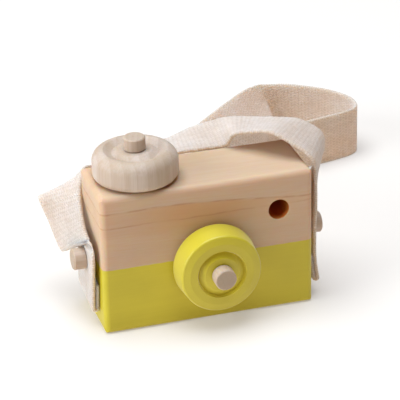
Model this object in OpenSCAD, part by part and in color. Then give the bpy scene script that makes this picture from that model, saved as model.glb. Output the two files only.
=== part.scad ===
// Wooden toy camera: a pine block with a turned lens wheel and a turned dial wheel,
// each free to spin on a headed peg, a drilled viewfinder and a webbing neck strap.
// Origin: middle of the block's underside. +X is the viewer's right, -Y the lens side.

/* [Block] */
// Width of the block, left to right
body_w = 95; // [80:1:120]
// Depth of the block, lens side to back
body_d = 35; // [30:1:50]
// Height of the block
body_h = 65; // [58:1:80]
// Rounding of the block's edges
edge_r = 2.5; // [1:0.5:5]
// Height of the painted lower part
paint_h = 31; // [20:0.5:40]
// Diameter of the viewfinder hole
finder_d = 9.5; // [6:0.5:14]
// Viewfinder's distance to the right of the middle
finder_x = 32; // [26:1:36]
// Viewfinder's height above the underside
finder_z = 48; // [46:1:52]

/* [Wheels] */
// Diameter of both turned wheels at their widest
wheel_d = 37.4; // [36:0.2:44]
// Thickness of both wheels
rim_t = 13; // [10:0.5:16]
// How much the lens rim's radius shrinks towards the front
rim_taper = 0.8; // [0:0.1:1.5]
// Rounding of the lens rim's outer front edge
lens_front_r = 1.2; // [0.4:0.2:2]
// Rounding of the lens rim's outer back edge
lens_back_r = 2; // [0.4:0.2:4]
// Width of the sloping band round the lens's face
band_w = 3.6; // [2.2:0.2:4]
// Fall of that band towards the rim
band_drop = 0.6; // [0.2:0.1:1.2]
// Width of the outer wall of the lens's groove
groove_w = 0.8; // [0.4:0.1:1]
// Rounding of the dial rim's upper edge
dial_top_r = 5; // [2:0.2:6]
// Rounding of the dial rim's lower edge
dial_foot_r = 3; // [0.4:0.2:3.6]
// Diameter of the groove round the hub, at its floor
groove_d = 20.4; // [19:0.2:22.4]
// Depth of the groove below the face
groove_depth = 1.6; // [1:0.2:3]
// Diameter of the hub's flat face
hub_d = 15.2; // [12:0.4:17.6]
// How far the hub's face lies below the wheel's face
hub_drop = 0.2; // [0:0.1:0.8]
// Lens axis, distance to the right of the middle
lens_x = 1.8; // [-4:0.1:4]
// Lens axis, height above the underside
lens_z = 28; // [24:0.5:32]
// Dial axis, distance to the left of the middle
dial_x = 27; // [22:0.5:28]

/* [Pegs] */
// Diameter of a peg's shank
peg_d = 6.4; // [5:0.1:7]
// Diameter of a peg's head
peg_head_d = 9.5; // [8.5:0.25:11]
// Length of a peg's head
peg_head_l = 5.5; // [4:0.5:8]
// Chamfer round the end of a head
head_chamfer = 0.5; // [0.2:0.1:1.5]
// Chamfer at the tip of a shank
tip_chamfer = 0.6; // [0.2:0.1:1]
// Depth of the peg holes in the block
peg_hole_l = 20; // [14:0.5:22]
// Height of the strap pegs above the underside
strap_peg_z = 30; // [26:0.5:34]

/* [Strap] */
// Width of the webbing
strap_w = 25; // [20:1:30]
// Thickness of the webbing
strap_t = 1.6; // [1:0.1:2.4]
// Length of webbing below the left peg, down to the fold
left_tail_l = 19.5; // [16:0.5:22]
// Length of webbing below the right peg, down to the fold
right_tail_l = 21.5; // [16:0.5:24]
// Length of the hem turned up behind each strap end
hem_l = 12; // [6:0.5:12]
// Length of the flat strap end above each peg
strap_rise_l = 6; // [4:0.5:8]
// Lean of the left strap end about its peg, in degrees
left_lean = 8; // [0:1:12]

/* [Fits] */
// Running gap between a wheel and what it turns against
run_gap = 0.5; // [0.3:0.1:1]
// Radial clearance of a wheel's bore on its peg
bore_clear = 0.08; // [0.02:0.01:0.1]
// Radial glue line round a peg in the block
glue_line = 0.05; // [0.02:0.01:0.1]
// Room past the tip of a peg in its hole
tip_room = 1; // [0.5:0.1:2]
// Gap between neighbouring layers of the strap, the block and a peg head
layer_gap = 0.2; // [0.1:0.05:0.3]
// Radial clearance of the strap's hole on its peg
strap_hole_clear = 0.2; // [0.1:0.05:0.4]

/* [Hidden] */
$fn = 96;
// Overrun of every cut past the face that it opens
overrun = 1;

side_x = body_w / 2;
face_y = -body_d / 2;
peg_r = peg_d / 2;
peg_hole_r = peg_r + glue_line;
wheel_r = wheel_d / 2;
bore_r = peg_r + bore_clear;
groove_r = groove_d / 2;
hub_t = rim_t - hub_drop;
// Distances out from the face that a peg stands in, to the underside of its head
axle_reach = run_gap + hub_t + run_gap;
strap_inner = layer_gap + strap_t + layer_gap;
strap_outer = strap_inner + strap_t;
strap_reach = strap_outer + layer_gap;
// Bend at the fold of a strap end, to the middle of the webbing's inner face
fold_r = layer_gap / 2;

pine = "#e6cfae";
turned = "#ead9bf";
yellow = "#e3d23c";
webbing = "#ece4d8";

// The free strap: its middle, and the way to the edge that starts at the front on the left end.
// It rises from the left peg, rounds the back of the block, stands on edge in a loop behind it,
// climbs to the block's top back edge and arches over the top to the right peg.
strap_route = [
    [-50.3, -0.8, 36, 0, -10, -1.4],
    [-51.5, 0.5, 38, 1, -10, 2],
    [-54, 5, 34.4, 3, -8, 6.8],
    [-55, 18, 43, 4, -7, 5],
    [-54.5, 28, 51, 5.5, -5, 4],
    [-46, 37, 46, 4, -2, 8],
    [-34, 45, 38, 3, 1, 9],
    [-14, 60, 28, 2, 1, 10],
    [11, 80, 20.5, -3, 4, 8],
    [36.5, 109, 20, -6, 6, 5.5],
    [73, 148, 17.2, -5, 5, 7],
    [83.5, 158, 15.3, -4, 4, 8],
    [87, 162, 12.8, -1, 2, 10],
    [97, 159.5, 12.6, 0, 1, 10],
    [112, 149, 12.6, 0, 0, 10],
    [120, 137, 12.6, 0, 0, 10],
    [121, 128, 12.6, 0, 0, 10],
    [118, 122, 12.6, 0, 0, 10],
    [108, 118, 12.6, 0, 0, 10],
    [80, 112, 12.6, 0, 0, 10],
    [68, 107.5, 13.1, 0, 0, 10],
    [60, 96, 18, 2, 3, 10],
    [50, 88, 24, 2, 5, 10],
    [37, 86, 29, 2, 5, 10],
    [23, 77, 33, 4, 2, 10],
    [9, 63, 37, 7, -2, 8],
    [-2, 49.5, 43, 7, -6, 3],
    [-12, 42, 50.5, 4, -9, -3],
    [-12, 35.5, 57, -1, -10, -2],
    [-4, 31.5, 61.5, -2, -10, 1.4],
    [8, 29.5, 64.7, -1, -10, 0.3],
    [20, 28, 66.6, -1, -10, -0.5],
    [24, 25, 70.5, -2.5, -10, 1],
    [33, 19, 72.3, -4.5, -9, 1.6],
    [40, 12, 74.2, -5, -8, 1.6],
    [46, 7, 73.6, -6, -8, 0.8],
    [54, 0, 69, -5, -8, 0],
    [56, -1, 65, -5, -9, 0],
    [56, -1, 59, -4.5, -9, 0],
    [52, 0, 43, -1, -10, 0],
    [50.3, 0, 36, 0, -10, 0]
];
// Rings between one route point and the next
rings_per_span = 2;
// Bevel of the webbing's selvedges
selvedge = strap_t / 4;

function unit(v) = v / norm(v);

// A row of the route at span i and the share t of that span, on a smooth curve through all rows
function row(i) = strap_route[max(0, min(len(strap_route) - 1, i))];
function along(i, t) =
    let (a = row(i - 1), b = row(i), c = row(i + 1), d = row(i + 2))
    (2 * b + (c - a) * t + (2 * a - 5 * b + 4 * c - d) * t * t + (3 * b - a - 3 * c + d) * t * t * t) / 2;
function middle(r) = [r[0], r[1], r[2]];
function edgeways(r) = unit([r[3], r[4], r[5]]);

// One flat eight-sided section of the webbing round a row, facing the way the strap runs
function section(r, run) =
    let (w = edgeways(r), n = unit(cross(run, w)), hw = strap_w / 2, ht = strap_t / 2)
    [for (s = [[hw, selvedge - ht], [hw, ht - selvedge], [hw - selvedge, ht], [selvedge - hw, ht],
               [-hw, ht - selvedge], [-hw, selvedge - ht], [selvedge - hw, -ht], [hw - selvedge, -ht]])
        middle(r) + w * s[0] + n * s[1]];

// A block with rounded edges, standing on the XY plane
module rounded_block() {
    intersection() {
        linear_extrude(body_h) rounded_rectangle(body_w, body_d);
        translate([0, body_d / 2, body_h / 2]) rotate([90, 0, 0])
            linear_extrude(body_d) rounded_rectangle(body_w, body_h);
        translate([-body_w / 2, 0, body_h / 2]) rotate([90, 0, 90])
            linear_extrude(body_w) rounded_rectangle(body_d, body_h);
    }
}

module rounded_rectangle(w, h) {
    square([w - 2 * edge_r, h], center = true);
    square([w, h - 2 * edge_r], center = true);
    for (x = [-1, 1], y = [-1, 1])
        translate([x * (w / 2 - edge_r), y * (h / 2 - edge_r)]) circle(edge_r);
}

// Places what stands along +Z at the lens axis, pointing out of the lens side
module at_lens() {
    translate([lens_x, face_y, lens_z]) rotate([90, 0, 0]) children();
}

// The same at the dial axis, pointing up out of the top
module at_dial() {
    translate([-dial_x, 0, body_h]) children();
}

// The same at a strap peg: side is -1 for the left and 1 for the right
module at_strap_peg(side) {
    translate([side * side_x, 0, strap_peg_z]) rotate([0, side * 90, 0]) children();
}

// A blind hole down into the face that a peg stands in
module peg_hole() {
    translate([0, 0, -peg_hole_l]) cylinder(r = peg_hole_r, h = peg_hole_l + overrun);
}

// A headed peg: the shank goes down into its hole, and the head's underside is at reach
module headed_peg(reach) {
    shank_end = tip_room - peg_hole_l;
    head_r = peg_head_d / 2;
    head_end = reach + peg_head_l;
    rotate_extrude()
        polygon([[0, shank_end], [peg_r - tip_chamfer, shank_end], [peg_r, shank_end + tip_chamfer],
                 [peg_r, reach], [head_r, reach], [head_r, head_end - head_chamfer],
                 [head_r - head_chamfer, head_end], [0, head_end]]);
}

// Half section of the lens: a tapering rim, a face with a sloping band, a groove and a bevelled hub
module lens_section() {
    back_r = wheel_r - lens_back_r;
    brim_r = wheel_r - rim_taper;
    brim_z = rim_t - band_drop;
    polygon([[bore_r, 0], [back_r, 0], [wheel_r, lens_back_r], [brim_r, brim_z - lens_front_r],
             [brim_r - lens_front_r, brim_z], [brim_r - band_w, rim_t], [groove_r + groove_w, rim_t],
             [groove_r, rim_t - groove_depth], [hub_d / 2, hub_t], [bore_r, hub_t]]);
    translate([back_r, lens_back_r]) circle(lens_back_r);
    translate([brim_r - lens_front_r, brim_z - lens_front_r]) circle(lens_front_r);
}

// Half section of the dial: a rounded rim, dished down to a groove round the same hub
module dial_section() {
    foot_r = wheel_r - dial_foot_r;
    top_r = wheel_r - dial_top_r;
    top_z = rim_t - dial_top_r;
    polygon([[bore_r, 0], [foot_r, 0], [wheel_r, dial_foot_r], [wheel_r, top_z], [top_r, top_z], [top_r, rim_t],
             [groove_r, rim_t - groove_depth], [hub_d / 2, hub_t], [bore_r, hub_t]]);
    translate([foot_r, dial_foot_r]) circle(dial_foot_r);
    translate([top_r, top_z]) intersection() {
        circle(dial_top_r);
        square(dial_top_r);
    }
}

// A strap end in side view: a single layer with its lower end folded up behind it.
// The first axis runs out from the block's side, and the second up from the peg.
module strap_end_outline(tail_l) {
    translate([strap_inner, -tail_l]) square([strap_t, tail_l + strap_rise_l]);
    translate([layer_gap, -tail_l]) square([strap_t, hem_l]);
    translate([layer_gap + strap_t + fold_r, -tail_l]) difference() {
        circle(strap_t + fold_r);
        circle(fold_r);
        translate([-strap_outer, 0]) square([2 * strap_outer, strap_outer]);
    }
}

// A pinned strap end against one side of the block, leaning about its peg
module strap_end(side, tail_l, lean) {
    translate([side * side_x, 0, strap_peg_z]) rotate([lean, 0, 0]) difference() {
        mirror([side < 0 ? 1 : 0, 0, 0]) translate([0, strap_w / 2, 0]) rotate([90, 0, 0])
            linear_extrude(strap_w) strap_end_outline(tail_l);
        rotate([0, side * 90, 0]) cylinder(r = peg_r + strap_hole_clear, h = strap_reach + overrun);
    }
}

// The block with its viewfinder and its four peg holes
module drilled_block() {
    difference() {
        rounded_block();
        translate([finder_x, body_d / 2 + overrun, finder_z]) rotate([90, 0, 0])
            cylinder(d = finder_d, h = body_d + 2 * overrun);
        at_lens() peg_hole();
        at_dial() peg_hole();
        at_strap_peg(-1) peg_hole();
        at_strap_peg(1) peg_hole();
    }
}

// What lies below the paint line
module dipped_zone() {
    translate([-body_w, -body_d, -overrun]) cube([2 * body_w, 2 * body_d, paint_h + overrun]);
}

module body_block() {
    color(yellow) intersection() {
        drilled_block();
        dipped_zone();
    }
    color(pine) difference() {
        drilled_block();
        dipped_zone();
    }
}

module lens_wheel() {
    color(yellow) at_lens() translate([0, 0, run_gap]) rotate_extrude() lens_section();
}

module lens_axle_peg() {
    color(turned) at_lens() headed_peg(axle_reach);
}

module dial_wheel() {
    color(turned) at_dial() translate([0, 0, run_gap]) rotate_extrude() dial_section();
}

module dial_axle_peg() {
    color(turned) at_dial() headed_peg(axle_reach);
}

module left_strap_peg() {
    color(turned) at_strap_peg(-1) headed_peg(strap_reach);
}

module right_strap_peg() {
    color(turned) at_strap_peg(1) headed_peg(strap_reach);
}

module strap_left_end() {
    color(webbing) strap_end(-1, left_tail_l, left_lean);
}

module strap_right_end() {
    color(webbing) strap_end(1, right_tail_l, 0);
}

// The free strap as one closed surface swept along its route
module neck_strap() {
    spans = len(strap_route) - 1;
    rows = [for (i = [0 : spans - 1], k = [0 : rings_per_span - 1]) along(i, k / rings_per_span),
            strap_route[spans]];
    last = len(rows) - 1;
    rings = [for (i = [0 : last])
        section(rows[i], unit(middle(rows[min(i + 1, last)]) - middle(rows[max(i - 1, 0)])))];
    sides = len(rings[0]);
    points = [for (ring = rings, p = ring) p];
    walls = [for (i = [0 : last - 1], j = [0 : sides - 1])
        let (a = i * sides + j, b = i * sides + (j + 1) % sides)
        each [[a, a + sides, b + sides], [a, b + sides, b]]];
    start_cap = [for (j = [1 : sides - 2]) [0, j, j + 1]];
    end_cap = [for (j = [1 : sides - 2]) [last * sides, last * sides + j + 1, last * sides + j]];
    color(webbing) polyhedron(points, concat(walls, start_cap, end_cap));
}

body_block();
lens_wheel();
lens_axle_peg();
dial_wheel();
dial_axle_peg();
left_strap_peg();
right_strap_peg();
strap_left_end();
neck_strap();
strap_right_end();
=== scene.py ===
import math

import bpy
from mathutils import Matrix, Vector


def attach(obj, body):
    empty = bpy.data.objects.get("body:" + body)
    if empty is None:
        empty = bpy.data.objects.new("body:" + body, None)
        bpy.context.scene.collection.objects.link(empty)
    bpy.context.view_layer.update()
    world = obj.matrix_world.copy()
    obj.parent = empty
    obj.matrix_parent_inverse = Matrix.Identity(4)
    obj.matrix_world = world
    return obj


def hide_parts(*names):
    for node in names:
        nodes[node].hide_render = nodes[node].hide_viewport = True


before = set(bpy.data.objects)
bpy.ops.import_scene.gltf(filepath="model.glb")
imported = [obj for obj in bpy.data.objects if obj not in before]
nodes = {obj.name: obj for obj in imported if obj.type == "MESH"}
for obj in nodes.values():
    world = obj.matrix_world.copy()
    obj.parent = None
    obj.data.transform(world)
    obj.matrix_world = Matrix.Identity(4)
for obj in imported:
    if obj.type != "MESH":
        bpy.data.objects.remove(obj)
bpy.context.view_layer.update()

MM = 0.001

# Viewpoint above and to the left of the lens side, in metres and degrees
CAMERA_PLACE = (-0.25009, -0.8655, 0.49294)
CAMERA_YAW = -16.212
CAMERA_DIP = 26.206
CAMERA_ROLL = -1.317
CAMERA_SENSOR = 36
CAMERA_LENS = 207.3
CAMERA_NEAR = 0.05
CAMERA_FAR = 20


def place_camera():
    """A long lens at the photograph's viewpoint."""
    bpy.ops.object.camera_add()
    camera = bpy.context.object
    camera.name = "photo_camera"
    camera.matrix_world = (
        Matrix.Translation(CAMERA_PLACE)
        @ Matrix.Rotation(math.radians(CAMERA_YAW), 4, "Z")
        @ Matrix.Rotation(math.radians(90 - CAMERA_DIP), 4, "X")
        @ Matrix.Rotation(math.radians(CAMERA_ROLL), 4, "Z")
    )
    camera.data.sensor_width = CAMERA_SENSOR
    camera.data.lens = CAMERA_LENS
    camera.data.clip_start = CAMERA_NEAR
    camera.data.clip_end = CAMERA_FAR
    camera.data.dof.use_dof = False
    bpy.context.scene.camera = camera


place_camera()


# Webbing, and the sides of the block that it is pinned to
STRAP_W = 25 * MM
STRAP_T = 1.6 * MM
LAYER_GAP = 0.2 * MM
SIDE_X = 47.5 * MM
PEG_Z = 30 * MM

# Pinned ends: a hem turned up behind, a tail below the peg and a flat above it
HEM_L = 12 * MM
RISE_L = 6 * MM
LEFT_TAIL = 19.5 * MM
LEFT_LEAN = math.radians(8)
RIGHT_TAIL = 21.5 * MM
RIGHT_FLARE = 1.5 * MM
FLARE_FROM = 0.3

# Selvedges: a row of beads along each edge
BEAD = 1.1 * MM
BEAD_BAND = 1.3 * MM
BEAD_SWELL = 0.24 * MM
BEAD_SWELL_FROM = 0.8
BEAD_THICKEN = 0.2
BEAD_THICKEN_FROM = 0.4

# How finely the strip is made
HEM_POINTS = 20
FOLD_POINTS = 12
RISE_POINTS = 40
ROUTE_POINTS = 30
BEAD_POINTS = 4
EASE_REACH = 6
UNEASED_L = 32 * MM
TANGENT_REACH = 4
FLAT_FACES = 12
EDGE_FACES = 6
EDGE_DEPTH = 0.9

# Middle of the free webbing in millimetres, and the way to the edge that starts at the front
STRAP_ROUTE = [
    (-50.3, -0.8, 36, 0, -10, -1.4),
    (-51.5, 0.5, 38, 1, -10, 2),
    (-54, 5, 34.4, 3, -8, 6.8),
    (-55, 18, 43, 4, -7, 5),
    (-54.5, 28, 51, 5.5, -5, 4),
    (-46, 37, 46, 4, -2, 8),
    (-34, 45, 38, 3, 1, 9),
    (-14, 60, 28, 2, 1, 10),
    (11, 80, 20.5, -3, 4, 8),
    (36.5, 109, 20, -6, 6, 5.5),
    (73, 148, 17.2, -5, 5, 7),
    (83.5, 158, 15.3, -4, 4, 8),
    (87, 162, 12.8, -1, 2, 10),
    (97, 159.5, 12.6, 0, 1, 10),
    (112, 149, 12.6, 0, 0, 10),
    (120, 137, 12.6, 0, 0, 10),
    (121, 128, 12.6, 0, 0, 10),
    (118, 122, 12.6, 0, 0, 10),
    (108, 118, 12.6, 0, 0, 10),
    (80, 112, 12.6, 0, 0, 10),
    (68, 107.5, 13.1, 0, 0, 10),
    (60, 96, 18, 2, 3, 10),
    (50, 88, 24, 2, 5, 10),
    (37, 86, 29, 2, 5, 10),
    (23, 77, 33, 4, 2, 10),
    (9, 63, 37, 7, -2, 8),
    (-2, 49.5, 43, 7, -6, 3),
    (-12, 42, 50.5, 4, -9, -3),
    (-12, 35.5, 57, -1, -10, -2),
    (-4, 31.5, 61.5, -2, -10, 1.4),
    (8, 29.5, 64.7, -1, -10, 0.3),
    (20, 28, 66.6, -1, -10, -0.5),
    (24, 25, 70.5, -2.5, -10, 1),
    (33, 19, 72.3, -4.5, -9, 1.6),
    (40, 12, 74.2, -5, -8, 1.6),
    (46, 7, 73.6, -6, -8, 0.8),
    (54, 0, 69, -5, -8, 0),
    (56, -1, 65, -5, -9, 0),
    (56, -1, 59, -4.5, -9, 0),
    (52, 0, 43, -1, -10, 0),
    (50.3, 0, 36, 0, -10, 0),
]


def pinned_end(side, tail, lean, flare):
    """Points down the turned-up hem, round the fold and up past the peg, with the way to their edge."""
    inner = LAYER_GAP + STRAP_T / 2
    outer = inner + STRAP_T + LAYER_GAP
    bend = (outer - inner) / 2
    flat = [(inner, -tail + HEM_L * (1 - k / HEM_POINTS)) for k in range(HEM_POINTS)]
    flat += [(inner + bend - bend * math.cos(a), -tail - bend * math.sin(a))
             for a in (math.pi * k / FOLD_POINTS for k in range(FOLD_POINTS + 1))]
    flat += [(outer, -tail + (tail + RISE_L) * k / RISE_POINTS) for k in range(1, RISE_POINTS)]
    cosine, sine = math.cos(lean), math.sin(lean)
    points = []
    for out, up in flat:
        swing = flare * max(0.0, (-up - FLARE_FROM * tail) / ((1 - FLARE_FROM) * tail)) ** 2
        points.append((Vector((side * (SIDE_X + out + swing), -up * sine, PEG_Z + up * cosine)),
                       Vector((0, -cosine, -sine))))
    return points


def free_run():
    """The free webbing on a smooth curve through its route, as the solid has it."""
    rows = [[v * MM for v in r[:3]] + list(r[3:]) for r in STRAP_ROUTE]
    last = len(rows) - 1
    points = []
    for i in range(last):
        a, b, c, d = (rows[max(0, min(last, i + k))] for k in (-1, 0, 1, 2))
        for k in range(ROUTE_POINTS):
            t = k / ROUTE_POINTS
            p = [(2 * b[j] + (c[j] - a[j]) * t + (2 * a[j] - 5 * b[j] + 4 * c[j] - d[j]) * t * t
                  + (3 * b[j] - a[j] - 3 * c[j] + d[j]) * t ** 3) / 2 for j in range(6)]
            points.append((Vector(p[:3]), Vector(p[3:]).normalized()))
    points.append((Vector(rows[last][:3]), Vector(rows[last][3:]).normalized()))
    return points


def evenly_spaced(points, step):
    """The same line with its points a step apart, and its length."""
    lengths = [0.0]
    for (p, _), (q, _) in zip(points, points[1:]):
        lengths.append(lengths[-1] + (q - p).length)
    count = round(lengths[-1] / step)
    even, i = [], 0
    for k in range(count + 1):
        s = lengths[-1] * k / count
        while i < len(points) - 2 and lengths[i + 1] < s:
            i += 1
        t = (s - lengths[i]) / max(lengths[i + 1] - lengths[i], 1e-9)
        (p, v), (q, w) = points[i], points[i + 1]
        even.append((p.lerp(q, t), v.lerp(w, t).normalized()))
    return even, lengths[-1]


def eased(points, first, past):
    """Rounds the kinks between first and past by averaging each point with its neighbours."""
    done = list(points)
    for i in range(max(first, EASE_REACH), min(past, len(points) - EASE_REACH)):
        near = points[i - EASE_REACH:i + EASE_REACH + 1]
        done[i] = (sum((p for p, _ in near), Vector()) / len(near),
                   sum((w for _, w in near), Vector()).normalized())
    return done


def strap_section():
    """Points round the strip's section, across its width and through its thickness."""
    half_w, half_t = STRAP_W / 2, STRAP_T / 2
    depth = half_t * EDGE_DEPTH
    flat_w = STRAP_W - 2 * depth
    section = [(half_w - depth - flat_w * k / FLAT_FACES, half_t) for k in range(FLAT_FACES + 1)]
    section += [(-half_w + depth - depth * math.sin(a), half_t * math.cos(a))
                for a in (math.pi * k / EDGE_FACES for k in range(1, EDGE_FACES))]
    return section + [(-x, -y) for x, y in section]


def beaded(x, y, bead):
    """A point of the section, moved out and thickened near an edge by bead, 0 to 1 along each bead."""
    edge = max(0.0, (abs(x) - STRAP_W / 2 + BEAD_BAND) / BEAD_BAND)
    x_out = x + math.copysign(BEAD_SWELL * (bead - BEAD_SWELL_FROM) * edge, x)
    y_out = y * (1 + edge * BEAD_THICKEN * (bead - BEAD_THICKEN_FROM))
    return x_out, y_out


def make_strap():
    """One strip of webbing from hem to hem: two faces with rounded, beaded selvedges and squared ends."""
    left = pinned_end(-1, LEFT_TAIL, LEFT_LEAN, 0)
    right = list(reversed(pinned_end(1, RIGHT_TAIL, 0, RIGHT_FLARE)))
    step = BEAD / BEAD_POINTS
    line, length = evenly_spaced(left + free_run() + right, step)
    hem = int(UNEASED_L / step)
    for _ in range(2):
        line = eased(line, hem, len(line) - hem)

    section = strap_section()
    last = len(line) - 1
    vertices, uvs = [], []
    for i, (p, w) in enumerate(line):
        before = line[max(0, i - TANGENT_REACH)][0]
        after = line[min(last, i + TANGENT_REACH)][0]
        normal = (after - before).cross(w).normalized()
        s = length * i / last
        bead = 0.5 + 0.5 * math.cos(2 * math.pi * s / BEAD)
        for x, y in section:
            x_out, y_out = beaded(x, y, bead)
            place = p + w * x_out + normal * y_out
            place.z = max(place.z, 0.0)
            vertices.append(place)
            uvs.append((s, x))
    ring = len(section)
    faces = [(i * ring + j, (i + 1) * ring + j, (i + 1) * ring + (j + 1) % ring, i * ring + (j + 1) % ring)
             for i in range(last) for j in range(ring)]
    faces.append(tuple(range(ring)))
    faces.append(tuple(range(len(vertices) - 1, len(vertices) - 1 - ring, -1)))
    mesh = bpy.data.meshes.new("webbing_strap")
    mesh.from_pydata(vertices, [], faces)
    layer = mesh.uv_layers.new(name="webbing")
    for loop in mesh.loops:
        layer.data[loop.index].uv = uvs[loop.vertex_index]
    mesh.update()
    strap = bpy.data.objects.new("webbing_strap", mesh)
    bpy.context.collection.objects.link(strap)
    bpy.ops.object.select_all(action="DESELECT")
    strap.select_set(True)
    bpy.context.view_layer.objects.active = strap
    bpy.ops.object.mode_set(mode="EDIT")
    bpy.ops.mesh.select_all(action="SELECT")
    bpy.ops.mesh.normals_make_consistent(inside=False)
    bpy.ops.object.mode_set(mode="OBJECT")
    bpy.ops.object.shade_smooth()
    return strap, [p for p, _ in line], length


strap, strap_line, strap_length = make_strap()
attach(strap, "body")
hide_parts("strap_left_end", "neck_strap", "strap_right_end")


def put(tree, kind, links=(), **settings):
    """Adds a node with its settings, and gives its inputs values or other nodes' outputs."""
    made = tree.nodes.new(kind)
    for name, value in settings.items():
        setattr(made, name, value)
    for key, value in links:
        if isinstance(value, bpy.types.NodeSocket):
            tree.links.new(value, made.inputs[key])
        else:
            made.inputs[key].default_value = value
    return made


def sums(tree, operation, a, b=0.0, c=0.0):
    """The result of one Math node."""
    return put(tree, "ShaderNodeMath", ((0, a), (1, b), (2, c)), operation=operation).outputs[0]


def span(tree, value, low, high, to_low=0.0, to_high=1.0):
    """value taken smoothly from low..high to to_low..to_high, held at the ends."""
    return put(tree, "ShaderNodeMapRange",
               (("Value", value), ("From Min", low), ("From Max", high),
                ("To Min", to_low), ("To Max", to_high)),
               interpolation_type="SMOOTHSTEP").outputs["Result"]


def blended(tree, share, a, b):
    """Two colours mixed by share, on the Mix node's colour sockets."""
    return put(tree, "ShaderNodeMix", ((0, share), (6, a), (7, b)), data_type="RGBA").outputs[2]


def tinted(tree, wood, mask, share, colour):
    """wood, mixed with colour by a share of the mask."""
    return blended(tree, sums(tree, "MULTIPLY", mask, share), wood, colour)


def stretched_noise(tree, vector, stretch, detail=2.0, roughness=0.5):
    """Noise whose grain is stretched by the three scales, per millimetre."""
    scaled = put(tree, "ShaderNodeVectorMath", ((0, vector), (1, stretch)), operation="MULTIPLY").outputs[0]
    return put(tree, "ShaderNodeTexNoise",
               (("Vector", scaled), ("Scale", 1.0), ("Detail", detail), ("Roughness", roughness))).outputs[0]


def new_group(name, inputs, outputs):
    """An empty shader group with named sockets, and its two ends."""
    group = bpy.data.node_groups.new(name, "ShaderNodeTree")
    for label, kind, default in inputs:
        socket = group.interface.new_socket(name=label, in_out="INPUT", socket_type=kind)
        if default is not None:
            socket.default_value = default
    for label in outputs:
        kind = "NodeSocketColor" if label == "Colour" else "NodeSocketFloat"
        group.interface.new_socket(name=label, in_out="OUTPUT", socket_type=kind)
    return group, group.nodes.new("NodeGroupInput"), group.nodes.new("NodeGroupOutput")


def millimetres(tree, vector):
    """A vector in metres, as millimetres."""
    return put(tree, "ShaderNodeVectorMath", ((0, vector), ("Scale", 1 / MM)), operation="SCALE").outputs[0]


def off_centre(tree, a, b):
    """How far the point (a, b) lies from zero."""
    squares = sums(tree, "ADD", sums(tree, "MULTIPLY", a, a), sums(tree, "MULTIPLY", b, b))
    return sums(tree, "SQRT", squares)


# Wood grain: noise scales along the fibre and across it, per millimetre, and parts of one ring
SWAY_STRETCH = (0.018, 0.05, 0.05)
FIBRE_STRETCH = (0.05, 1.5, 1.5)
CLOUD_STRETCH = (0.02, 0.09, 0.09)
FLECK_STRETCH = (0.22, 4.0, 4.0)
FLECK_CUT = (0.64, 0.74)
LATE_WOOD_RISE = (0.25, 0.93)
LATE_WOOD_FALL = (0.94, 0.99)


def growth_rings():
    """Wood with its fibre along X: late wood about the X axis, fibre streaks, broad clouds and flecks."""
    group, given, out = new_group(
        "growth_rings",
        (("Vector", "NodeSocketVector", None), ("Ring Width", "NodeSocketFloat", 5.0),
         ("Wander", "NodeSocketFloat", 2.0)),
        ("Late Wood", "Fibre", "Cloud", "Fleck"))
    mm = millimetres(group, given.outputs["Vector"])
    parts = put(group, "ShaderNodeSeparateXYZ", ((0, mm),))
    radius = off_centre(group, parts.outputs[1], parts.outputs[2])
    sway = stretched_noise(group, mm, SWAY_STRETCH)
    radius = sums(group, "MULTIPLY_ADD", sums(group, "SUBTRACT", sway, 0.5), given.outputs["Wander"], radius)
    phase = sums(group, "FRACT", sums(group, "DIVIDE", radius, given.outputs["Ring Width"]))
    rise = span(group, phase, *LATE_WOOD_RISE)
    fall = span(group, phase, *LATE_WOOD_FALL, 1.0, 0.0)
    group.links.new(sums(group, "MULTIPLY", rise, fall), out.inputs["Late Wood"])
    fibre = stretched_noise(group, mm, FIBRE_STRETCH, detail=4.0, roughness=0.6)
    group.links.new(fibre, out.inputs["Fibre"])
    group.links.new(stretched_noise(group, mm, CLOUD_STRETCH), out.inputs["Cloud"])
    fleck = stretched_noise(group, mm, FLECK_STRETCH, detail=1.0)
    group.links.new(span(group, fleck, *FLECK_CUT), out.inputs["Fleck"])
    return group


YELLOW_LOW = (0.60, 0.475, 0.012, 1)
YELLOW_HIGH = (0.66, 0.53, 0.02, 1)
SATIN = (0.40, 0.48)
PEEL_SHARE = 0.4


def yellow_coat():
    """Satin paint over wood: a little unevenness in colour, and the grain just showing through."""
    group, given, out = new_group(
        "yellow_coat", (("Vector", "NodeSocketVector", None), ("Grain", "NodeSocketFloat", 0.5)),
        ("Colour", "Roughness", "Height"))
    mm = millimetres(group, given.outputs["Vector"])
    clouds = stretched_noise(group, mm, (0.03, 0.06, 0.06), detail=3.0)
    streaks = stretched_noise(group, mm, (0.05, 1.3, 1.3), detail=3.0)
    orange_peel = stretched_noise(group, mm, (1.6, 1.6, 1.6))
    uneven = sums(group, "MULTIPLY", sums(group, "SUBTRACT", streaks, 0.5), given.outputs["Grain"])
    tone = sums(group, "ADD", clouds, uneven)
    colour = blended(group, span(group, tone, 0.25, 0.75), YELLOW_LOW, YELLOW_HIGH)
    group.links.new(colour, out.inputs["Colour"])
    group.links.new(span(group, clouds, 0.3, 0.7, *SATIN), out.inputs["Roughness"])
    peel = sums(group, "MULTIPLY", orange_peel, PEEL_SHARE)
    group.links.new(sums(group, "MULTIPLY_ADD", streaks, given.outputs["Grain"], peel), out.inputs["Height"])
    return group


RINGS = growth_rings()
COAT = yellow_coat()


def new_material(name):
    """A material with its Principled shader."""
    material = bpy.data.materials.new(name)
    material.use_nodes = True
    tree = material.node_tree
    tree.nodes.clear()
    shader = tree.nodes.new("ShaderNodeBsdfPrincipled")
    surface = tree.nodes.new("ShaderNodeOutputMaterial")
    tree.links.new(shader.outputs[0], surface.inputs[0])
    return material, tree, shader


def object_place(tree):
    """Where a point is on its piece, in metres."""
    return put(tree, "ShaderNodeTexCoord").outputs["Object"]


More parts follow.
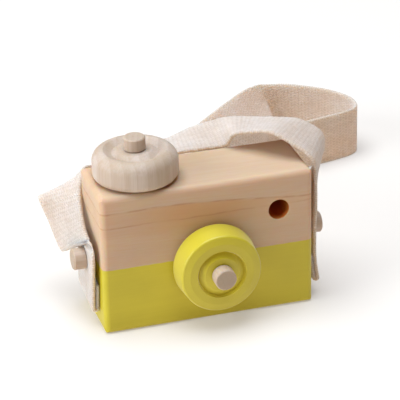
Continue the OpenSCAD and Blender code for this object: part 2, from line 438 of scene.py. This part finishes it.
def ringed(tree, location, rotation, ring_width, wander):
    """The growth rings of a piece cut from a log that is moved and turned."""
    turned = put(tree, "ShaderNodeMapping",
                 (("Vector", object_place(tree)), ("Location", location), ("Rotation", rotation)),
                 vector_type="POINT").outputs[0]
    return put(tree, "ShaderNodeGroup", (("Vector", turned), ("Ring Width", ring_width), ("Wander", wander)),
               node_tree=RINGS).outputs


def painted_over(tree, grain):
    """The yellow coat, with a share of the grain showing through."""
    return put(tree, "ShaderNodeGroup", (("Vector", object_place(tree)), ("Grain", grain)),
               node_tree=COAT).outputs


def bumped(tree, height, distance, strength):
    """A normal raised by height."""
    return put(tree, "ShaderNodeBump",
               (("Height", height), ("Distance", distance), ("Strength", strength))).outputs[0]


def scattering(shader, radius, scale):
    """How far light spreads below the surface, by colour."""
    shader.inputs["Subsurface Radius"].default_value = radius
    shader.inputs["Subsurface Scale"].default_value = scale


# The darker ring across the upper front of the block, in millimetres
BAND_TOP_X = (-20.0, 65.0)
BAND_TOP_Z = (57.7, 52.2)
BAND_FOOT_Z = 50.9
BAND_SWAY = 3.0
BAND_MIDDLE_X = -2.0


def heart_band(tree, x, y, z):
    """The darker ring: its warm body, and the two thin lines that bound it."""
    mm = put(tree, "ShaderNodeCombineXYZ", ((0, x), (1, y), (2, z))).outputs[0]
    drift = stretched_noise(tree, mm, (0.03, 0.03, 0.03))
    sway = sums(tree, "MULTIPLY", sums(tree, "SUBTRACT", drift, 0.5), BAND_SWAY)
    upper = sums(tree, "ADD", span(tree, x, *BAND_TOP_X, *BAND_TOP_Z), sums(tree, "MULTIPLY", sway, 0.5))
    lower = sums(tree, "ADD", BAND_FOOT_Z, sway)
    above_lower = sums(tree, "SUBTRACT", z, lower)
    below_upper = sums(tree, "SUBTRACT", upper, z)
    from_middle = sums(tree, "ABSOLUTE", sums(tree, "SUBTRACT", x, BAND_MIDDLE_X))
    body = sums(tree, "MULTIPLY", span(tree, above_lower, -13.0, 3.0), span(tree, below_upper, -0.4, 0.6))
    body = sums(tree, "MULTIPLY", body, span(tree, from_middle, 8.0, 40.0, 1.0, 0.25))
    upper_line = span(tree, sums(tree, "ABSOLUTE", below_upper), 0.1, 0.7, 1.0, 0.0)
    lower_line = sums(tree, "MULTIPLY", span(tree, sums(tree, "ABSOLUTE", above_lower), 0.1, 0.6, 1.0, 0.0),
                      span(tree, x, -5.0, 30.0, 1.0, 0.45))
    breaks = stretched_noise(tree, mm, (0.12, 0.5, 0.9), detail=3.0)
    broken = span(tree, breaks, 0.35, 0.6, 0.2, 1.0)
    lines = sums(tree, "MULTIPLY", sums(tree, "MAXIMUM", upper_line, lower_line), broken)
    return body, lines


# The viewfinder's hole, the block's face and the paint line, in millimetres
FINDER_X = 32.0
FINDER_Z = 48.0
FINDER_WALL = (4.80, 4.95)
FACE_Y = (16.5, 17.4)
PAINT_EDGE = (30.85, 31.15)

# The log that the block is cut from, in metres and radians, and its rings in millimetres
PINE_LOG_PLACE = (0, -0.004, 0.040)
PINE_LOG_TURN = (0, math.radians(-1.5), math.radians(2.0))
PINE_RING_W = 7.0
PINE_WANDER = 6.0

PINE_PINK = (0.63, 0.43, 0.285, 1)
PINE_CREAM = (0.67, 0.475, 0.30, 1)
PINE_LATE = (0.62, 0.33, 0.14, 1)
PINE_LINE = (0.47, 0.20, 0.09, 1)
# Painted shade: the dark red-brown laid over the wood inside the viewfinder hole
HOLE_SHADE_COLOUR = (0.60, 0.18, 0.02, 1)
PINE_DRY = (0.55, 0.65)
PINE_SCATTER_SHARE = 0.6
PINE_SCATTER = (1.0, 0.35, 0.12)
PINE_SCATTER_L = 7 * MM


def dipped_pine():
    """Sanded pine above the paint line, yellow paint below it, and painted shade on the viewfinder hole's
    wall.
    """
    material, tree, shader = new_material("dipped_pine")
    rings = ringed(tree, PINE_LOG_PLACE, PINE_LOG_TURN, PINE_RING_W, PINE_WANDER)
    mm = millimetres(tree, object_place(tree))
    x, y, z = put(tree, "ShaderNodeSeparateXYZ", ((0, mm),)).outputs
    body, lines = heart_band(tree, x, y, z)
    wood = blended(tree, span(tree, rings["Cloud"], 0.3, 0.7), PINE_PINK, PINE_CREAM)
    wood = blended(tree, span(tree, rings["Fibre"], 0.3, 0.75, 0.0, 0.22), wood, PINE_LATE)
    wood = tinted(tree, wood, rings["Late Wood"], 0.10, PINE_LATE)
    wood = tinted(tree, wood, body, 0.8, PINE_LATE)
    wood = tinted(tree, wood, lines, 0.55, PINE_LINE)
    wood = tinted(tree, wood, rings["Fleck"], 0.10, PINE_LINE)
    # Painted shade inside the viewfinder hole: the wall between its radius and the block's faces
    off_axis = off_centre(tree, sums(tree, "SUBTRACT", x, FINDER_X), sums(tree, "SUBTRACT", z, FINDER_Z))
    hole_shade = sums(tree, "MULTIPLY", span(tree, off_axis, *FINDER_WALL, 1.0, 0.0),
                   span(tree, sums(tree, "ABSOLUTE", y), *FACE_Y, 1.0, 0.0))
    wood = blended(tree, hole_shade, wood, HOLE_SHADE_COLOUR)

    coat = painted_over(tree, grain=0.25)
    bleed = stretched_noise(tree, mm, (0.25, 0.8, 0.8))
    line = sums(tree, "MULTIPLY_ADD", sums(tree, "SUBTRACT", bleed, 0.5), 0.5, z)
    painted = span(tree, line, *PAINT_EDGE, 1.0, 0.0)
    bare = sums(tree, "SUBTRACT", 1.0, painted)
    tree.links.new(blended(tree, painted, wood, coat["Colour"]), shader.inputs["Base Color"])
    dry = span(tree, rings["Fibre"], 0.3, 0.7, *PINE_DRY)
    tree.links.new(sums(tree, "ADD", sums(tree, "MULTIPLY", bare, dry),
                        sums(tree, "MULTIPLY", painted, coat["Roughness"])), shader.inputs["Roughness"])
    grain = sums(tree, "MULTIPLY_ADD", rings["Fibre"], 0.4, sums(tree, "MULTIPLY", lines, -0.2))
    film = sums(tree, "MULTIPLY_ADD", coat["Height"], 0.4, 0.7)
    relief = sums(tree, "ADD", sums(tree, "MULTIPLY", bare, grain), sums(tree, "MULTIPLY", painted, film))
    tree.links.new(bumped(tree, relief, distance=0.2 * MM, strength=0.4), shader.inputs["Normal"])
    tree.links.new(sums(tree, "MULTIPLY", bare, PINE_SCATTER_SHARE), shader.inputs["Subsurface Weight"])
    scattering(shader, PINE_SCATTER, PINE_SCATTER_L)
    return material


def painted_turning():
    """The lens wheel's coat of the same paint."""
    material, tree, shader = new_material("painted_turning")
    coat = painted_over(tree, grain=0.1)
    tree.links.new(coat["Colour"], shader.inputs["Base Color"])
    tree.links.new(coat["Roughness"], shader.inputs["Roughness"])
    tree.links.new(bumped(tree, coat["Height"], distance=0.2 * MM, strength=0.4), shader.inputs["Normal"])
    shader.inputs["Sheen Weight"].default_value = 0.25
    shader.inputs["Sheen Roughness"].default_value = 0.5
    return material


TURNED_TAN = (0.56, 0.42, 0.30, 1)
TURNED_PALE = (0.65, 0.515, 0.41, 1)
TURNED_LATE = (0.44, 0.28, 0.16, 1)
TURNED_END = (0.44, 0.32, 0.21, 1)
TURNED_WANDER = 2.5
TURNED_DRY = (0.5, 0.6)
TURNED_SCATTER_SHARE = 0.2
TURNED_SCATTER = (1.0, 0.45, 0.2)
TURNED_SCATTER_L = 4 * MM


def bare_turning(name, location, rotation, ring_width, axis, end):
    """Pale turned wood with its fibre along the piece, and end grain past end millimetres along an axis."""
    material, tree, shader = new_material(name)
    mm = millimetres(tree, object_place(tree))
    along = put(tree, "ShaderNodeSeparateXYZ", ((0, mm),)).outputs[axis]
    cut = span(tree, sums(tree, "ABSOLUTE", along), end - 0.3, end - 0.1)
    rings = ringed(tree, location, rotation, ring_width, TURNED_WANDER)
    wood = blended(tree, span(tree, rings["Cloud"], 0.35, 0.65), TURNED_TAN, TURNED_PALE)
    wood = blended(tree, span(tree, rings["Fibre"], 0.35, 0.75, 0.0, 0.3), wood, TURNED_LATE)
    wood = tinted(tree, wood, rings["Late Wood"], 0.22, TURNED_LATE)
    wood = tinted(tree, wood, rings["Fleck"], 0.15, TURNED_LATE)
    wood = tinted(tree, wood, cut, 0.8, TURNED_END)
    tree.links.new(wood, shader.inputs["Base Color"])
    tree.links.new(span(tree, rings["Fibre"], 0.3, 0.7, *TURNED_DRY), shader.inputs["Roughness"])
    tree.links.new(bumped(tree, rings["Fibre"], distance=0.1 * MM, strength=0.3), shader.inputs["Normal"])
    shader.inputs["Subsurface Weight"].default_value = TURNED_SCATTER_SHARE
    scattering(shader, TURNED_SCATTER, TURNED_SCATTER_L)
    return material


# The weave, in millimetres: half a zigzag along the strip, a row across it, the slant of a float, how far
# the yarns waver, and where the selvedges start
ZIGZAG = 1.8
WEAVE_ROW = 1.5
WEAVE_SLANT = 0.7
WAVER_ALONG = 1.2
WAVER_ACROSS = 0.9
SELVEDGE = (11.3, 11.9)

COTTON_CREAM = (0.66, 0.53, 0.44, 1)
COTTON_WHITE = (0.70, 0.58, 0.50, 1)
# Painted shade colour for the weave's hollows and the selvedges
COTTON_SHADE = (0.43, 0.30, 0.20, 1)
COTTON_DRY = (0.82, 0.95)
COTTON_SCATTER = (1.0, 0.78, 0.6)
COTTON_SCATTER_L = 6 * MM


def herringbone():
    """Unbleached cotton webbing: columns of slanted floats with ribs between, on the strip's own map, with
    painted shade in the weave's hollows and along the selvedges.
    """
    material, tree, shader = new_material("herringbone")
    mm = millimetres(tree, put(tree, "ShaderNodeUVMap", (), uv_map="webbing").outputs[0])
    parts = put(tree, "ShaderNodeSeparateXYZ", ((0, mm),))
    waver = sums(tree, "SUBTRACT", stretched_noise(tree, mm, (0.6, 0.6, 0.6), detail=3.0), 0.5)
    along = sums(tree, "MULTIPLY_ADD", waver, WAVER_ALONG, parts.outputs[0])
    across = sums(tree, "MULTIPLY_ADD", waver, WAVER_ACROSS, parts.outputs[1])
    zigzag = sums(tree, "PINGPONG", along, ZIGZAG)
    row = sums(tree, "DIVIDE", sums(tree, "MULTIPLY_ADD", zigzag, WEAVE_SLANT, across), WEAVE_ROW)
    wave = sums(tree, "COSINE", sums(tree, "MULTIPLY", row, 2 * math.pi))
    floats = sums(tree, "MULTIPLY_ADD", wave, 0.5, 0.5)
    rib = sums(tree, "ABSOLUTE", sums(tree, "SINE", sums(tree, "MULTIPLY", along, math.pi / ZIGZAG)))
    fluff = stretched_noise(tree, mm, (2.2, 2.2, 2.2), detail=3.0, roughness=0.65)
    patches = stretched_noise(tree, mm, (0.35, 0.45, 0.2), detail=3.0)
    patchy = span(tree, patches, 0.35, 0.65, 0.4, 1.0)
    yarn = sums(tree, "ADD", sums(tree, "MULTIPLY", floats, 0.5), sums(tree, "MULTIPLY", rib, 0.35))
    relief = sums(tree, "ADD", sums(tree, "MULTIPLY", yarn, patchy), sums(tree, "MULTIPLY", fluff, 0.25))
    clouds = stretched_noise(tree, mm, (0.05, 0.12, 0.1))
    thread = blended(tree, span(tree, clouds, 0.3, 0.7), COTTON_CREAM, COTTON_WHITE)
    # Painted shade: the weave's low places darkened towards the shade colour
    shaded = blended(tree, span(tree, relief, 0.15, 0.65, 0.4, 0.0), thread, COTTON_SHADE)
    # Painted shade along the selvedges, deepest in the gaps between the beads
    beads = sums(tree, "COSINE", sums(tree, "MULTIPLY", parts.outputs[0], 2 * math.pi * MM / BEAD))
    selvedge = span(tree, sums(tree, "ABSOLUTE", parts.outputs[1]), *SELVEDGE)
    selvedge_shade = sums(tree, "MULTIPLY", selvedge, span(tree, beads, -0.6, 0.6, 0.4, 0.05))
    shaded = blended(tree, selvedge_shade, shaded, COTTON_SHADE)
    tree.links.new(shaded, shader.inputs["Base Color"])
    tree.links.new(span(tree, fluff, 0.3, 0.7, *COTTON_DRY), shader.inputs["Roughness"])
    tree.links.new(bumped(tree, relief, distance=0.7 * MM, strength=0.8), shader.inputs["Normal"])
    shader.inputs["Subsurface Weight"].default_value = 1.0
    scattering(shader, COTTON_SCATTER, COTTON_SCATTER_L)
    shader.inputs["Sheen Weight"].default_value = 0.1
    shader.inputs["Sheen Roughness"].default_value = 0.6
    shader.inputs["Specular IOR Level"].default_value = 0.2
    return material


def dress(part, material):
    """Gives a piece one material."""
    part.data.materials.clear()
    part.data.materials.append(material)


# Each bare turning: its node, its finish, where its log lies in metres and how it is turned, the width
# of its rings, and the axis and reach of its end grain in millimetres
QUARTER = math.radians(90)
NO_END_GRAIN = 99.0
LENS_PEG_END = 36.8
STRAP_PEG_END = 56.8
BARE_TURNINGS = [
    ("dial_wheel", "dial_turning", (0.09, 0.012, 0.031), (0, QUARTER, 0), 4.5, "Z", NO_END_GRAIN),
    ("dial_axle_peg", "dial_peg_turning", (0.09, 0.02, 0.03), (0, QUARTER, 0), 2.2, "Z", NO_END_GRAIN),
    ("lens_axle_peg", "lens_peg_turning", (0.04, 0.02, -0.02), (0, 0, QUARTER), 2.2, "Y", LENS_PEG_END),
    ("left_strap_peg", "left_peg_turning", (0, 0.006, -0.022), (0, 0, 0), 2.2, "X", STRAP_PEG_END),
    ("right_strap_peg", "right_peg_turning", (0, -0.006, -0.038), (0, 0, 0), 2.2, "X", STRAP_PEG_END),
]

dress(strap, herringbone())
dress(nodes["body_block"], dipped_pine())
dress(nodes["lens_wheel"], painted_turning())
for node, *finish in BARE_TURNINGS:
    dress(nodes[node], bare_turning(*finish))


FLOOR_SIZE = 8
FLOOR_COLOUR = (0.70, 0.61, 0.52, 1)
FLOOR_GLOW = (0.9, 0.95, 1.0, 1)
FLOOR_GLOW_STRENGTH = 0.28


def pale_floor():
    """A plain pale table top."""
    bpy.ops.mesh.primitive_plane_add(size=FLOOR_SIZE)
    floor = bpy.context.object
    floor.name = "pale_floor"
    material, _, shader = new_material("pale_floor")
    shader.inputs["Base Color"].default_value = FLOOR_COLOUR
    shader.inputs["Roughness"].default_value = 0.9
    shader.inputs["Emission Color"].default_value = FLOOR_GLOW
    shader.inputs["Emission Strength"].default_value = FLOOR_GLOW_STRENGTH
    dress(floor, material)


# Lights: name, place in metres, size in metres and power in watts
SOFTBOXES = [
    ("skylight", (-0.15, 0.1, 2.2), 2.0, 74),
    ("window", (-1.6, -0.2, 0.6), 1.2, 25),
]
DAYLIGHT = (0.76, 0.87, 1.0)
ROOM_COLOUR = (1.0, 0.52, 0.2, 1)
ROOM_STRENGTH = 0.08


def softbox(name, place, size, energy):
    """A square soft light at place, facing the toy."""
    bpy.ops.object.light_add(type="AREA")
    box = bpy.context.object
    box.name = name
    facing = Vector(place).to_track_quat("Z", "Y").to_matrix().to_4x4()
    box.matrix_world = Matrix.Translation(place) @ facing
    box.data.size = size
    box.data.energy = energy
    box.data.color = DAYLIGHT


def studio_light():
    """Cool soft light from above and from the left, and a dim warm room."""
    world = bpy.data.worlds.new("studio")
    bpy.context.scene.world = world
    world.use_nodes = True
    background = world.node_tree.nodes["Background"]
    background.inputs["Color"].default_value = ROOM_COLOUR
    background.inputs["Strength"].default_value = ROOM_STRENGTH
    for box in SOFTBOXES:
        softbox(*box)


pale_floor()
studio_light()
bpy.context.scene.view_settings.view_transform = "Standard"
